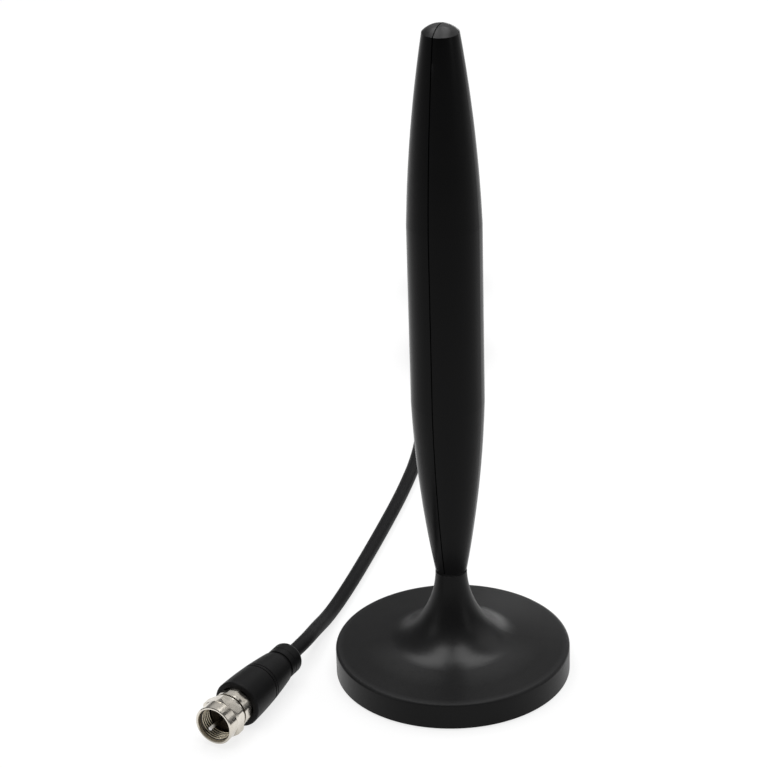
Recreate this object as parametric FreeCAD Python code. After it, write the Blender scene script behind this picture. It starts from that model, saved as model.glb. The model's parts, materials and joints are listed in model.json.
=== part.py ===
"""Indoor HDTV antenna: a two-half wand on a round flared base, with a thin coax lead and an F plug.

Millimetres, +Z up. The origin is the middle of the foot pad's underside, on the table.
The front of the antenna faces -Y, and the lead leaves the base at the back (+Y).
"""
import FreeCAD
import Part
import math
import os
from FreeCAD import Placement, Rotation, Vector

# Fits
CLOSE_GAP = 0.05          # pieces that are pushed together
RUNNING_GAP = 0.06        # coupling nut on its post, on the radius
LOOSE_GAP = 0.15          # pieces that drop into place
OVERCUT = 1.0             # how far a cut runs past the face that it opens
SAME_LENGTH = 1e-6        # lengths that differ by less are the same

# Lead
LEAD_DIAMETER = 4.0
LEAD_DIELECTRIC_DIAMETER = 2.5
LEAD_CORE_DIAMETER = 0.5
LEAD_BORE_GAP = 0.2       # round the lead, in the neck
LEAD_STRAIGHT = 4.0       # straight run behind the grommet
PLUG_STRAIGHT = 8.0       # straight run behind the plug
ARC_SHARE = 0.45          # share of the shorter run that each bend of the lead takes

# Base cover
BASE_RADIUS = 32.0
RIM_HEIGHT = 7.9
RIM_LIFT = 0.5            # lower edge of the rim above the table
RIM_ROUND = 0.8
COVER_WALL = 1.8
DISC_SLOPE = 0.15         # rise of the disc towards the middle, per millimetre
FLARE_RADIUS = 18.0       # where the flare runs out on the disc
FLARE_PULL_RADIUS = 9.8   # how far in the flare follows the disc's slope
FLARE_PULL_HEIGHT = 22.0  # how far down the flare follows the neck
NECK_RADIUS = 4.27
NECK_TOP = 31.0
NECK_EDGE = 0.15
CAVITY_TOP = 21.0         # where the hollow under the flare narrows to the lead's bore
CAVITY_PULL_HEIGHT = 18.4 # how far down the hollow follows the bore

# Spigot that the wand closes round
JOINT_GAP = 0.4           # dark ring between the neck and the wand
COLLAR_RADIUS = 3.95
SPIGOT_RADIUS = 3.3
SPIGOT_LENGTH = 8.2       # from the collar to the flange
FLANGE_RADIUS = 4.1
FLANGE_THICKNESS = 1.5
FLANGE_FLAT = 3.6         # half width across the flange's two flats

# Base plate, foot pad, ballast and screws
PAD_INSET = 4.0           # edge of the foot pad inside the edge of the base
PAD_THICKNESS = 0.8
PLATE_THICKNESS = 1.4
BALLAST_INSET = 2.2       # edge of the ballast inside the rim
BALLAST_HOLE_RADIUS = 10.5
BALLAST_THICKNESS = 2.8
BALLAST_CLEARANCE = 0.6   # round the screw bosses and the lead
SCREW_COUNT = 3
SCREW_INSET = 10.0        # screws inside the edge of the base
SCREW_FIRST_ANGLE = 30.0
BOSS_RADIUS = 2.6
SCREW_RADIUS = 1.1
SCREW_HEAD_RADIUS = 2.1
SCREW_HEAD_HEIGHT = 1.0
SCREW_LENGTH = 5.2
SLOT_WIDTH = 0.5
SLOT_DEPTH = 0.5

# Grommet
GROMMET_NECK_RADIUS = 2.6
GROMMET_FLANGE_RADIUS = 3.1
GROMMET_FLANGE_THICKNESS = 1.0
GROMMET_SLEEVE_RADIUS = 2.8
GROMMET_TIP_RADIUS = 2.45
GROMMET_SLEEVE_LENGTH = 7.0

# Wand
SEAM_ANGLE = -25.0        # the seam lies this far to the left of the front
FOOT_RADIUS = 4.3
FOOT_EDGE = 0.15
LOWER_TAPER_LENGTH = 50.6
LOWER_TAPER_BULGE = 0.92
BARREL_LOW_RADIUS = 9.75
BARREL_LENGTH = 51.0
BARREL_TOP_RADIUS = 9.85
UPPER_TAPER_LENGTH = 52.0
UPPER_TAPER_BULGE = 0.81
CROWN_RADIUS = 4.85
DOME_HEIGHT = 2.1
WAND_WALL = 1.6
WAND_FLOOR_HEIGHT = 11.5  # solid heel of the wand, above its lower end
SEAM_HALF_WIDTH = 0.15
SEAM_DEPTH = 0.45

# Dipole board and the bosses that clamp it
BOARD_THICKNESS = 1.0
BOARD_WIDTH = 9.6
BOARD_LENGTH = 112.0
BOARD_LIFT = 24.0         # lower edge of the board above the wand's lower end
BOARD_CORNER = 1.2
PEG_COUNT = 3
PEG_FIRST_LIFT = 14.0     # first peg above the board's lower edge
PEG_PITCH = 42.0
PEG_RADIUS = 1.1
PEG_BOSS_RADIUS = 2.3
PEG_REACH = 4.0           # how far the pegs go into the other half
BOARD_SLOT_DEPTH = 4.0    # slot for the lead's stripped end

# Plug: distances run back from the mouth of the nut
PLUG_HEADING = 28.5       # degrees from the front towards the left
PLUG_BACK_X = -44.6
PLUG_BACK_Y = -3.4
PLUG_LENGTH = 39.6
NUT_FLATS = 11.0
NUT_COLLAR_RADIUS = 5.5
NUT_COLLAR_LENGTH = 3.3
NUT_HEX_LENGTH = 3.6
NUT_TAIL_RADIUS = 5.1
NUT_TAIL_LENGTH = 0.9
NUT_CORNER_RADIUS = 6.2   # the hexagon's corners are turned off a little
NUT_CHAMFER = 0.8
NUT_EDGE = 0.2
NUT_BORE_RADIUS = 4.76
NUT_BORE_DEPTH = 6.9
POST_FLANGE_RADIUS = 4.25
POST_FLANGE_THICKNESS = 1.1
POST_AXIAL_GAP = 0.2
POST_SHOULDER_RADIUS = 3.44
POST_SHOULDER_END = 12.6
POST_TUBE_RADIUS = 2.3
POST_BORE_RADIUS = 1.6
POST_END = 20.5
FERRULE_GAP = 0.3
FERRULE_RADIUS = 5.2
FERRULE_FLATS = 9.9
FERRULE_LIP = 0.9
FERRULE_LENGTH = 8.9
PIN_RADIUS = 0.5
PIN_PROUD = 1.8
PIN_TIP = 0.25
BOOT_START = 11.6
BOOT_FRONT_RADIUS = 6.6
BOOT_MIDDLE_RADIUS = 5.6
BOOT_MIDDLE_BACK = 13.0   # from the back of the boot
BOOT_WAIST_RADIUS = 4.8
BOOT_WAIST_BACK = 7.2
BOOT_EDGE = 0.7
BOOT_GROOVE_WIDTH = 1.3
BOOT_GROOVE_DEPTH = 0.6
BOOT_COLLAR_RADIUS = 4.5
BOOT_COLLAR_ROUND = 1.6
BOOT_RING_COUNT = 3
BOOT_RING_FIRST_BACK = 14.8
BOOT_RING_PITCH = 1.1
BOOT_RING_RADIUS = 0.25
BOOT_LIP_BACK = 3.9       # fine groove in the collar

# Hank of the spare lead
HANK_NEAR_Y = 193.5       # middle of the near loops
HANK_FAR_Y = 252.0        # middle of the far loops
HANK_LOOP_RADIUS = 12.6   # outside of the loops
HANK_WAIST = 4.4          # half width at the tie
HANK_HEIGHT = 20.6
TIE_WIDTH = 9.0
TIE_THICKNESS = 0.8

# Worked out from the sizes above
LEAD_RADIUS = LEAD_DIAMETER / 2
LEAD_BORE_RADIUS = LEAD_RADIUS + LEAD_BORE_GAP
COVER_INNER_RADIUS = BASE_RADIUS - COVER_WALL
PAD_RADIUS = BASE_RADIUS - PAD_INSET
BALLAST_RADIUS = COVER_INNER_RADIUS - BALLAST_INSET
SCREW_CIRCLE_RADIUS = BASE_RADIUS - SCREW_INSET
PLATE_TOP = PAD_THICKNESS + PLATE_THICKNESS
LEAD_EXIT_HEIGHT = PLATE_TOP + LEAD_RADIUS + CLOSE_GAP
DISC_EDGE_RADIUS = BASE_RADIUS - RIM_ROUND
FLANGE_UNDERSIDE = NECK_TOP + JOINT_GAP + SPIGOT_LENGTH
FLANGE_TOP = FLANGE_UNDERSIDE + FLANGE_THICKNESS
WAND_BOTTOM = NECK_TOP + JOINT_GAP
BARREL_LOW = WAND_BOTTOM + LOWER_TAPER_LENGTH
BARREL_TOP = BARREL_LOW + BARREL_LENGTH
CROWN_HEIGHT = BARREL_TOP + UPPER_TAPER_LENGTH
WAND_TOP = CROWN_HEIGHT + DOME_HEIGHT
WAND_FLOOR = WAND_BOTTOM + WAND_FLOOR_HEIGHT
BOARD_BOTTOM = WAND_BOTTOM + BOARD_LIFT
BOARD_HALF = BOARD_THICKNESS / 2
NUT_LENGTH = NUT_COLLAR_LENGTH + NUT_HEX_LENGTH + NUT_TAIL_LENGTH
POST_FACE = NUT_BORE_DEPTH - POST_AXIAL_GAP - POST_FLANGE_THICKNESS
FERRULE_START = NUT_LENGTH + FERRULE_GAP
FERRULE_END = FERRULE_START + FERRULE_LENGTH
PLUG_HEIGHT = BOOT_FRONT_RADIUS + CLOSE_GAP
GROMMET_END_Y = BASE_RADIUS + GROMMET_FLANGE_THICKNESS + GROMMET_SLEEVE_LENGTH
GROMMET_INNER_Y = math.sqrt(COVER_INNER_RADIUS ** 2 - GROMMET_FLANGE_RADIUS ** 2) - CLOSE_GAP
LEAD_JOIN_Y = GROMMET_INNER_Y - GROMMET_FLANGE_THICKNESS
FLOOR_RUN = LEAD_RADIUS + CLOSE_GAP
HANK_MIDDLE = (HANK_NEAR_Y + HANK_FAR_Y) / 2
PLUG_AXIS = Vector(
    -math.sin(math.radians(PLUG_HEADING)),
    -math.cos(math.radians(PLUG_HEADING)),
    0,
)
PLUG_BACK = Vector(PLUG_BACK_X, PLUG_BACK_Y, PLUG_HEIGHT)

# Route of the lead through the grommet and back to the hank
BASE_RUN = [
    Vector(0.0, LEAD_JOIN_Y, LEAD_EXIT_HEIGHT),
    Vector(0.0, GROMMET_END_Y + LEAD_STRAIGHT, LEAD_EXIT_HEIGHT),
    Vector(0.3, 60.0, FLOOR_RUN + 0.5),
    Vector(1.4, 78.0, FLOOR_RUN),
    Vector(3.2, 98.0, FLOOR_RUN),
    Vector(6.0, 124.0, FLOOR_RUN),
    Vector(8.4, 152.0, FLOOR_RUN),
    Vector(9.9, 178.0, FLOOR_RUN),
    Vector(10.4, 192.0, FLOOR_RUN),
]

# Route of the lead from the plug to the hank
PLUG_RUN = [
    PLUG_BACK,
    PLUG_BACK - PLUG_AXIS * PLUG_STRAIGHT,
    Vector(-37.9, 14.2, 4.6),
    Vector(-34.9, 24.6, FLOOR_RUN + 0.2),
    Vector(-30.7, 37.2, FLOOR_RUN),
    Vector(-26.0, 53.0, FLOOR_RUN),
    Vector(-20.2, 74.0, FLOOR_RUN),
    Vector(-14.0, 98.0, FLOOR_RUN),
    Vector(-9.2, 122.0, FLOOR_RUN),
    Vector(-7.6, 148.0, FLOOR_RUN),
    Vector(-9.4, 175.0, FLOOR_RUN),
    Vector(-10.4, 192.0, FLOOR_RUN),
]


def point(radius, height):
    return Vector(radius, 0, height)


def line(start, end):
    return Part.LineSegment(point(*start), point(*end)).toShape()


def arc(start, middle, end):
    return Part.Arc(point(*start), point(*middle), point(*end)).toShape()


def chain(corners):
    return [line(a, b) for a, b in zip(corners, corners[1:])]


def turned(edges):
    """The solid that a closed outline of radius and height sweeps round the Z axis."""
    face = Part.Face(Part.Wire(Part.__sortEdges__(edges)))
    return face.revolve(Vector(0, 0, 0), Vector(0, 0, 1), 360)


def turned_outline(corners):
    return turned(chain(corners + corners[:1]))


def cylinder(radius, start, end):
    """A cylinder between two points."""
    along = end - start
    return Part.makeCylinder(radius, along.Length, start, along)


def block(low, high):
    return Part.makeBox(high.x - low.x, high.y - low.y, high.z - low.z, low)


def disc_height(radius):
    return RIM_HEIGHT + DISC_SLOPE * (DISC_EDGE_RADIUS - radius)


def bezier(poles):
    curve = Part.BezierCurve()
    curve.setPoles([point(*pole) for pole in poles])
    return curve.toShape()


def cover_outside():
    """Rim, sloping disc, flare and neck, then the collar, spigot and flange that carry the wand."""
    bend = RIM_ROUND * (1 - math.sqrt(0.5))
    foot = (FLARE_RADIUS, disc_height(FLARE_RADIUS))
    neck = (NECK_RADIUS, NECK_TOP - NECK_EDGE)
    edges = chain([
        (0, FLANGE_TOP),
        (0, RIM_LIFT),
        (BASE_RADIUS, RIM_LIFT),
        (BASE_RADIUS, RIM_HEIGHT - RIM_ROUND),
    ])
    edges.append(arc(
        (BASE_RADIUS, RIM_HEIGHT - RIM_ROUND),
        (BASE_RADIUS - bend, RIM_HEIGHT - bend),
        (DISC_EDGE_RADIUS, RIM_HEIGHT),
    ))
    edges.append(line((DISC_EDGE_RADIUS, RIM_HEIGHT), foot))
    edges.append(bezier([
        foot,
        (FLARE_PULL_RADIUS, disc_height(FLARE_PULL_RADIUS)),
        (NECK_RADIUS, FLARE_PULL_HEIGHT),
        neck,
    ]))
    edges += chain([
        neck,
        (NECK_RADIUS - NECK_EDGE, NECK_TOP),
        (COLLAR_RADIUS, NECK_TOP),
        (COLLAR_RADIUS, WAND_BOTTOM),
        (SPIGOT_RADIUS, WAND_BOTTOM),
        (SPIGOT_RADIUS, FLANGE_UNDERSIDE),
        (FLANGE_RADIUS, FLANGE_UNDERSIDE),
        (FLANGE_RADIUS, FLANGE_TOP),
        (0, FLANGE_TOP),
    ])
    return turned(edges)


def cover_hollow():
    """The hollow under the disc and the flare, and the lead's bore through the neck."""
    foot = (FLARE_RADIUS, disc_height(FLARE_RADIUS) - COVER_WALL)
    throat = (LEAD_BORE_RADIUS, CAVITY_TOP)
    edges = chain([
        (0, 0),
        (COVER_INNER_RADIUS, 0),
        (COVER_INNER_RADIUS, disc_height(COVER_INNER_RADIUS) - COVER_WALL),
        foot,
    ])
    edges.append(bezier([
        foot,
        (FLARE_PULL_RADIUS - COVER_WALL, disc_height(FLARE_PULL_RADIUS) - COVER_WALL),
        (LEAD_BORE_RADIUS, CAVITY_PULL_HEIGHT),
        throat,
    ]))
    edges += chain([
        throat,
        (LEAD_BORE_RADIUS, FLANGE_TOP + OVERCUT),
        (0, FLANGE_TOP + OVERCUT),
        (0, 0),
    ])
    return turned(edges)


def screw_places():
    for index in range(SCREW_COUNT):
        angle = math.radians(SCREW_FIRST_ANGLE + 360 * index / SCREW_COUNT)
        yield Vector(SCREW_CIRCLE_RADIUS * math.cos(angle), SCREW_CIRCLE_RADIUS * math.sin(angle), 0)


def upright(radius, place, low, high):
    """A vertical cylinder over a place on the table."""
    return Part.makeCylinder(radius, high - low, Vector(place.x, place.y, low))


def wand_turn(shape):
    """Turn a piece made with its seam at the front to where the seam really is."""
    shape.rotate(Vector(0, 0, 0), Vector(0, 0, 1), SEAM_ANGLE)
    return shape


def flange_flats(half_width, low, high):
    """The two slabs that lie outside the flats of the spigot's flange."""
    reach = FLANGE_RADIUS + OVERCUT
    slab = block(Vector(half_width, -reach, low), Vector(reach, reach, high))
    return slab.fuse(slab.mirror(Vector(0, 0, 0), Vector(1, 0, 0)))


def base_cover():
    cover = cover_outside().cut(cover_hollow())
    cover = cover.cut(wand_turn(flange_flats(FLANGE_FLAT, FLANGE_UNDERSIDE, FLANGE_TOP)))
    boss_top = disc_height(SCREW_CIRCLE_RADIUS) - COVER_WALL / 2
    for place in screw_places():
        cover = cover.fuse(upright(BOSS_RADIUS, place, PLATE_TOP, boss_top))
    for place in screw_places():
        depth = PAD_THICKNESS + SCREW_LENGTH + LOOSE_GAP
        cover = cover.cut(upright(SCREW_RADIUS + CLOSE_GAP, place, PLATE_TOP, depth))
    flange_inner = Vector(0, LEAD_JOIN_Y - CLOSE_GAP, LEAD_EXIT_HEIGHT)
    flange_outer = Vector(0, GROMMET_INNER_Y + CLOSE_GAP, LEAD_EXIT_HEIGHT)
    outside = Vector(0, BASE_RADIUS + OVERCUT, LEAD_EXIT_HEIGHT)
    cover = cover.cut(cylinder(GROMMET_FLANGE_RADIUS + CLOSE_GAP, flange_inner, flange_outer))
    return cover.cut(cylinder(GROMMET_NECK_RADIUS + CLOSE_GAP, flange_inner, outside))


def base_plate():
    plate = Part.makeCylinder(
        COVER_INNER_RADIUS - LOOSE_GAP, PLATE_THICKNESS, Vector(0, 0, PAD_THICKNESS)
    )
    notch_half = GROMMET_FLANGE_RADIUS + LOOSE_GAP
    notch_front = LEAD_JOIN_Y - LOOSE_GAP
    plate = plate.cut(block(
        Vector(-notch_half, notch_front, 0), Vector(notch_half, BASE_RADIUS, PLATE_TOP + OVERCUT)
    ))
    for place in screw_places():
        plate = plate.cut(screw_body(place, CLOSE_GAP))
    return plate


def screw_body(place, gap):
    """A countersunk screw's outline, grown by a gap, with its head flush with the plate's underside."""
    head = SCREW_HEAD_RADIUS + gap
    shank = SCREW_RADIUS + gap
    body = turned_outline([
        (0, 0),
        (head, 0),
        (shank, SCREW_HEAD_HEIGHT),
        (shank, SCREW_LENGTH),
        (0, SCREW_LENGTH),
    ])
    body.translate(Vector(place.x, place.y, PAD_THICKNESS))
    return body


def base_screws():
    screws = []
    for place in screw_places():
        slot = block(
            Vector(place.x - SCREW_HEAD_RADIUS, place.y - SLOT_WIDTH / 2, PAD_THICKNESS),
            Vector(place.x + SCREW_HEAD_RADIUS, place.y + SLOT_WIDTH / 2, PAD_THICKNESS + SLOT_DEPTH),
        )
        screws.append(screw_body(place, 0).cut(slot))
    return Part.makeCompound(screws)


def foot_pad():
    return Part.makeCylinder(PAD_RADIUS, PAD_THICKNESS)


def ballast_ring():
    ring = Part.makeCylinder(BALLAST_RADIUS, BALLAST_THICKNESS, Vector(0, 0, PLATE_TOP))
    ring = ring.cut(Part.makeCylinder(BALLAST_HOLE_RADIUS, BALLAST_THICKNESS, Vector(0, 0, PLATE_TOP)))
    for place in screw_places():
        ring = ring.cut(upright(BOSS_RADIUS + BALLAST_CLEARANCE, place, 0, RIM_HEIGHT))
    half = LEAD_RADIUS + BALLAST_CLEARANCE
    return ring.cut(block(Vector(-half, 0, 0), Vector(half, BASE_RADIUS, RIM_HEIGHT)))


def lead_grommet():
    """Flanged rubber bush in the back of the rim, with a short tapered sleeve along the lead."""
    bore = LEAD_RADIUS + CLOSE_GAP
    flange_end = BASE_RADIUS + GROMMET_FLANGE_THICKNESS
    bush = turned_outline([
        (bore, LEAD_JOIN_Y),
        (GROMMET_FLANGE_RADIUS, LEAD_JOIN_Y),
        (GROMMET_FLANGE_RADIUS, GROMMET_INNER_Y),
        (GROMMET_NECK_RADIUS, GROMMET_INNER_Y),
        (GROMMET_NECK_RADIUS, BASE_RADIUS),
        (GROMMET_FLANGE_RADIUS, BASE_RADIUS),
        (GROMMET_FLANGE_RADIUS, flange_end),
        (GROMMET_SLEEVE_RADIUS, flange_end),
        (GROMMET_TIP_RADIUS, GROMMET_END_Y),
        (bore, GROMMET_END_Y),
    ])
    bush.Placement = Placement(Vector(0, 0, LEAD_EXIT_HEIGHT), Rotation(Vector(0, 0, 1), Vector(0, 1, 0)))
    return bush


def wand_outline(inset):
    """Outline of the wand, drawn in by the inset: two bulged tapers, the barrel and the dome."""
    foot = (FOOT_RADIUS - inset, WAND_BOTTOM + FOOT_EDGE)
    sole = (FOOT_RADIUS - inset - FOOT_EDGE, WAND_BOTTOM)
    low = (BARREL_LOW_RADIUS - inset, BARREL_LOW)
    top = (BARREL_TOP_RADIUS - inset, BARREL_TOP)
    crown = (CROWN_RADIUS - inset, CROWN_HEIGHT - inset / 2)
    tip = (0, WAND_TOP - inset)
    lower_middle = ((foot[0] + low[0]) / 2 + LOWER_TAPER_BULGE, (foot[1] + low[1]) / 2)
    upper_middle = ((top[0] + crown[0]) / 2 + UPPER_TAPER_BULGE, (top[1] + crown[1]) / 2)
    dome_radius = (crown[0] ** 2 + (tip[1] - crown[1]) ** 2) / (2 * (tip[1] - crown[1]))
    half_angle = math.asin(crown[0] / dome_radius) / 2
    dome_middle = (
        dome_radius * math.sin(half_angle),
        tip[1] - dome_radius * (1 - math.cos(half_angle)),
    )
    edges = [
        line((0, WAND_BOTTOM), sole),
        line(sole, foot),
        arc(foot, lower_middle, low),
        line(low, top),
        arc(top, upper_middle, crown),
        arc(crown, dome_middle, tip),
        line(tip, (0, WAND_BOTTOM)),
    ]
    return turned(edges)


def wand_half_space(side):
    reach = max(BARREL_LOW_RADIUS, BARREL_TOP_RADIUS) + OVERCUT
    low = Vector(0, -reach, WAND_BOTTOM - OVERCUT)
    high = Vector(reach, reach, WAND_TOP + OVERCUT)
    half = block(low, high)
    if side < 0:
        half = half.mirror(Vector(0, 0, 0), Vector(1, 0, 0))
    return half


def wand_shell():
    """Both halves in one: the hollow wand with its seat for the spigot and the groove of the seam."""
    outside = wand_outline(0)
    above = block(
        Vector(-BASE_RADIUS, -BASE_RADIUS, WAND_FLOOR), Vector(BASE_RADIUS, BASE_RADIUS, WAND_TOP)
    )
    shell = outside.cut(wand_outline(WAND_WALL).common(above))
    shell = shell.cut(Part.makeCylinder(
        SPIGOT_RADIUS + CLOSE_GAP, WAND_FLOOR_HEIGHT, Vector(0, 0, WAND_BOTTOM)
    ))
    pocket_low = FLANGE_UNDERSIDE - CLOSE_GAP
    pocket = Part.makeCylinder(
        FLANGE_RADIUS + CLOSE_GAP, WAND_FLOOR - pocket_low, Vector(0, 0, pocket_low)
    )
    shell = shell.cut(pocket.cut(flange_flats(FLANGE_FLAT + CLOSE_GAP, pocket_low, WAND_FLOOR)))
    slab = block(
        Vector(-SEAM_HALF_WIDTH, -BASE_RADIUS, WAND_BOTTOM),
        Vector(SEAM_HALF_WIDTH, BASE_RADIUS, WAND_TOP),
    )
    return shell.cut(outside.cut(wand_outline(SEAM_DEPTH)).common(slab))


def peg_heights():
    for index in range(PEG_COUNT):
        yield BOARD_BOTTOM + PEG_FIRST_LIFT + index * PEG_PITCH


def peg(radius, height, start, end):
    return cylinder(radius, Vector(start, 0, height), Vector(end, 0, height))


def wand_left_shell(shell):
    """Left half, with the bosses that hold the board and the pegs that go through it."""
    half = shell.common(wand_half_space(-1))
    limit = wand_outline(WAND_WALL / 2)
    for height in peg_heights():
        half = half.fuse(peg(PEG_BOSS_RADIUS, height, -BASE_RADIUS, -BOARD_HALF).common(limit))
        half = half.fuse(peg(PEG_RADIUS, height, -BOARD_HALF - OVERCUT, BOARD_HALF + PEG_REACH))
    return wand_turn(half.removeSplitter())


def wand_right_shell(shell):
    """Right half, with the sockets for the pegs."""
    half = shell.common(wand_half_space(1))
    limit = wand_outline(WAND_WALL / 2)
    for height in peg_heights():
        boss = peg(PEG_BOSS_RADIUS, height, BOARD_HALF, BASE_RADIUS).common(limit)
        socket = peg(PEG_RADIUS + CLOSE_GAP, height, 0, BOARD_HALF + PEG_REACH + LOOSE_GAP)
        half = half.fuse(boss).cut(socket)
    return wand_turn(half.removeSplitter())


def dipole_board():
    """Flat board in the plane of the seam, with peg holes and a slot for the lead's stripped end."""
    board = block(
        Vector(-BOARD_HALF, -BOARD_WIDTH / 2, BOARD_BOTTOM),
        Vector(BOARD_HALF, BOARD_WIDTH / 2, BOARD_BOTTOM + BOARD_LENGTH),
    )
    corners = [e for e in board.Edges if abs(e.BoundBox.XLength - BOARD_THICKNESS) < SAME_LENGTH]
    board = board.makeFillet(BOARD_CORNER, corners)
    for height in peg_heights():
        board = board.cut(peg(PEG_RADIUS + LOOSE_GAP, height, -BOARD_THICKNESS, BOARD_THICKNESS))
    half = LEAD_DIELECTRIC_DIAMETER / 2 + LOOSE_GAP
    slot = block(
        Vector(-BOARD_THICKNESS, -half, BOARD_BOTTOM - OVERCUT),
        Vector(BOARD_THICKNESS, half, BOARD_BOTTOM + BOARD_SLOT_DEPTH),
    )
    return wand_turn(board.cut(slot))


def round_route(corners):
    """Straight runs joined by tangent arcs, each as large as its shorter run allows."""
    edges = []
    radii = []
    start = corners[0]
    for before, corner, after in zip(corners, corners[1:], corners[2:]):
        back = before - corner
        ahead = after - corner
        reach = ARC_SHARE * min(back.Length, ahead.Length)
        back.normalize()
        ahead.normalize()
        half_turn = (math.pi - back.getAngle(ahead)) / 2
        radius = reach / math.tan(half_turn)
        inward = (back + ahead).normalize()
        middle = corner + inward * (radius / math.cos(half_turn) - radius)
        edges.append(Part.LineSegment(start, corner + back * reach).toShape())
        edges.append(Part.Arc(corner + back * reach, middle, corner + ahead * reach).toShape())
        start = corner + ahead * reach
        radii.append(radius)
    edges.append(Part.LineSegment(start, corners[-1]).toShape())
    return Part.Wire(edges), radii


def tube(name, path):
    """The lead swept along a path that starts with a straight run."""
    start = path.Edges[0].valueAt(path.Edges[0].FirstParameter)
    heading = path.Edges[0].tangentAt(path.Edges[0].FirstParameter)
    section = Part.Wire(Part.Circle(start, heading, LEAD_RADIUS).toShape())
    solid = path.makePipeShell([section], True, False)
    expected = math.pi * LEAD_RADIUS ** 2 * path.Length
    print(name, "length", round(path.Length, 1), "volume ratio", round(solid.Volume / expected, 4))
    return solid


def lead_through_base():
    """The lead from the grommet through the base and the neck to its stripped end on the board."""
    bend = BALLAST_HOLE_RADIUS - LEAD_RADIUS
    centre = Vector(0, bend, LEAD_EXIT_HEIGHT + bend)
    start = Vector(0, LEAD_JOIN_Y, LEAD_EXIT_HEIGHT)
    flat_end = Vector(0, bend, LEAD_EXIT_HEIGHT)
    middle = centre - Vector(0, bend, bend) * math.sqrt(0.5)
    rise = Vector(0, 0, centre.z)
    top = Vector(0, 0, BOARD_BOTTOM - LOOSE_GAP)
    path = Part.Wire([
        Part.LineSegment(start, flat_end).toShape(),
        Part.Arc(flat_end, middle, rise).toShape(),
        Part.LineSegment(rise, top).toShape(),
    ])
    lead = tube("lead_through_base", path)
    slot_top = BOARD_BOTTOM + BOARD_SLOT_DEPTH
    dielectric_top = BOARD_BOTTOM + BOARD_SLOT_DEPTH / 2
    lead = lead.fuse(cylinder(
        LEAD_DIELECTRIC_DIAMETER / 2, top, Vector(0, 0, dielectric_top)
    ))
    return lead.fuse(cylinder(
        LEAD_CORE_DIAMETER / 2, Vector(0, 0, dielectric_top), Vector(0, 0, slot_top)
    ))


def free_lead(name, corners):
    path, radii = round_route(corners)
    print(name, "arc radii", [round(radius, 1) for radius in radii])
    return tube(name, path)


def hank_outline():
    """Two round loops drawn together at the tie, as one closed face on the table."""
    diagonal = HANK_LOOP_RADIUS * math.sqrt(0.5)
    near = Vector(0, HANK_NEAR_Y - HANK_LOOP_RADIUS, 0)
    far = Vector(0, HANK_FAR_Y + HANK_LOOP_RADIUS, 0)
    edges = []
    for side in (-1, 1):
        near_bend = Vector(side * diagonal, HANK_NEAR_Y - diagonal, 0)
        near_side = Vector(side * HANK_LOOP_RADIUS, HANK_NEAR_Y, 0)
        waist_near = Vector(side * HANK_WAIST, HANK_MIDDLE - TIE_WIDTH / 2, 0)
        waist_far = Vector(side * HANK_WAIST, HANK_MIDDLE + TIE_WIDTH / 2, 0)
        far_side = Vector(side * HANK_LOOP_RADIUS, HANK_FAR_Y, 0)
        far_bend = Vector(side * diagonal, HANK_FAR_Y + diagonal, 0)
        edges.append(Part.Arc(near, near_bend, near_side).toShape())
        edges.append(Part.LineSegment(near_side, waist_near).toShape())
        edges.append(Part.LineSegment(waist_near, waist_far).toShape())
        edges.append(Part.LineSegment(waist_far, far_side).toShape())
        edges.append(Part.Arc(far_side, far_bend, far).toShape())
    return Part.Face(Part.Wire(Part.__sortEdges__(edges)))


def lead_tie():
    """Strap round the waist of the hank."""
    near = HANK_MIDDLE - TIE_WIDTH / 2
    far = HANK_MIDDLE + TIE_WIDTH / 2
    outside = HANK_WAIST + TIE_THICKNESS
    outer = block(Vector(-outside, near, 0), Vector(outside, far, HANK_HEIGHT + TIE_THICKNESS))
    inner = block(Vector(-HANK_WAIST, near, TIE_THICKNESS), Vector(HANK_WAIST, far, HANK_HEIGHT))
    return outer.cut(inner)


def lead_hank(tie):
    return hank_outline().extrude(Vector(0, 0, HANK_HEIGHT)).cut(tie)


def on_plug(shape):
    """Move a piece made with the nut's mouth at the origin, facing +Z, to where the plug lies."""
    mouth = PLUG_BACK + PLUG_AXIS * PLUG_LENGTH
    shape.Placement = Placement(mouth, Rotation(Vector(0, 0, 1), PLUG_AXIS))
    return shape


def plug_turned(corners):
    """A turned piece from radii and distances behind the mouth."""
    return turned_outline([(radius, -back) for radius, back in corners])


def hexagon(flats, start, end):
    """A hexagonal bar between two distances behind the mouth."""
    corner = flats / math.sqrt(3)
    points = [
        Vector(corner * math.cos(math.radians(60 * k)), corner * math.sin(math.radians(60 * k)), -end)
        for k in range(7)
    ]
    return Part.Face(Part.makePolygon(points)).extrude(Vector(0, 0, end - start))


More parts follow.
